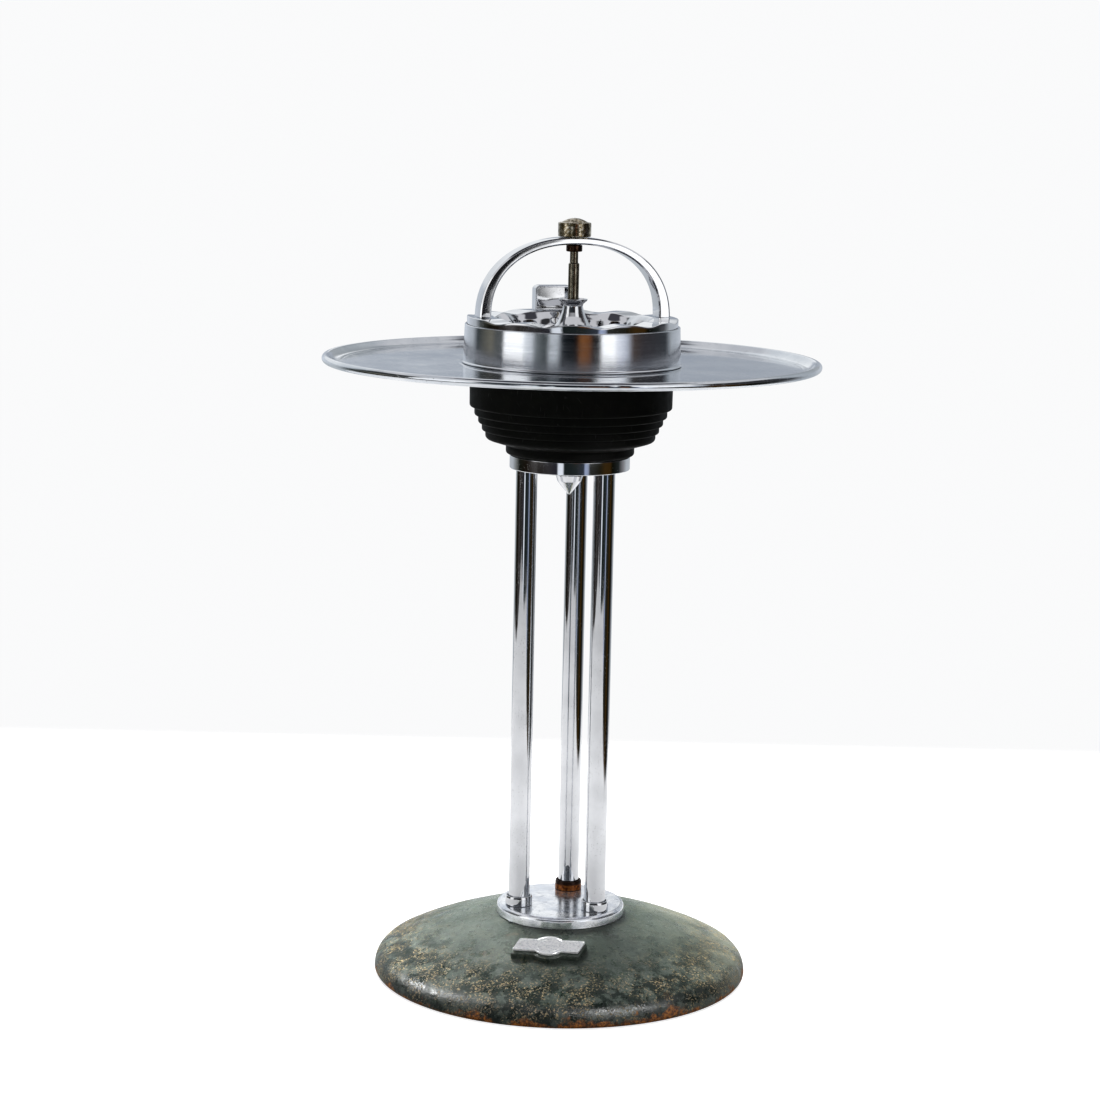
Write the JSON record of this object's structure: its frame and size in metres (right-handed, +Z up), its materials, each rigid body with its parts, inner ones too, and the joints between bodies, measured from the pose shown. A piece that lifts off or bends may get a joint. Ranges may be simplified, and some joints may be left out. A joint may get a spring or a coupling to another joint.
{
  "type": "smoking stand",
  "caption": "Floor-standing chrome smoking stand: domed iron base, tube columns, round tray, stepped bowl and lift-out ash receiver with an arched handle and lift knob.",
  "frame": {"origin": "centre of the base on the floor", "axes": "+Z up, +X along the handle arch, -Y the front of the receiver"},
  "size_m": [0.368, 0.368, 0.571],
  "materials": {
    "painted_iron": "worn green-black paint over cast iron, rusted round the foot",
    "polished_chrome": "polished chrome plate",
    "satin_chrome": "satin chrome plate with a fine turned grain",
    "tray_chrome": "chrome plate dulled by use",
    "worn_nickel": "nickel plate worn through to brass",
    "black_enamel": "matte black enamel",
    "rusted_plate": "plate lost, brown tarnish",
    "badge_alloy": "dull silver",
    "steel": "plain",
    "tinplate": "dull tinplate"
  },
  "bodies": {
    "stand": {"base_casting": "painted_iron", "base_plate": "polished_chrome", "column_tube_rear": "polished_chrome", "column_tube_left": "polished_chrome", "column_tube_right": "polished_chrome", "column_ferrule_left": "polished_chrome", "column_ferrule_right": "polished_chrome", "top_collar": "polished_chrome", "finial_nut": "polished_chrome", "column_ferrule_rear": "rusted_plate", "tie_rod_rear": "steel", "tie_rod_left": "steel", "tie_rod_right": "steel", "top_nut_rear": "steel", "top_nut_left": "steel", "top_nut_right": "steel", "base_washer_rear": "steel", "base_washer_left": "steel", "base_washer_right": "steel", "base_nut_rear": "steel", "base_nut_left": "steel", "base_nut_right": "steel", "centre_bolt": "steel", "tray_screw_right": "steel", "tray_screw_rear": "steel", "tray_screw_left": "steel", "tray_screw_front": "steel", "bowl": "black_enamel", "tray": "tray_chrome", "drum": "satin_chrome", "badge_plate": "badge_alloy", "badge_rivet_left": "badge_alloy", "badge_rivet_right": "badge_alloy"},
    "ash_can": {"ash_can": "tinplate"},
    "receiver": {"dish": "polished_chrome", "handle_arch": "polished_chrome", "arch_screw_left": "steel", "arch_screw_right": "steel", "guide_bush": "worn_nickel", "match_holder": "polished_chrome", "holder_rivet_left": "steel", "holder_rivet_right": "steel"},
    "plunger": {"plunger_rod": "worn_nickel", "knob": "worn_nickel", "trap_cone": "polished_chrome", "trap_washer": "steel", "trap_nut": "steel"}
  },
  "joints": [
    {"name": "can_lift", "type": "slide", "parent": "stand", "child": "ash_can", "axis": [0, 0, 1], "range_m": [0, 0.09]},
    {"name": "receiver_lift", "type": "slide", "parent": "ash_can", "child": "receiver", "axis": [0, 0, 1], "range_m": [0, 0.06]},
    {"name": "knob_lift", "type": "slide", "parent": "receiver", "child": "plunger", "axis": [0, 0, 1], "range_m": [0, 0.008]}
  ]
}
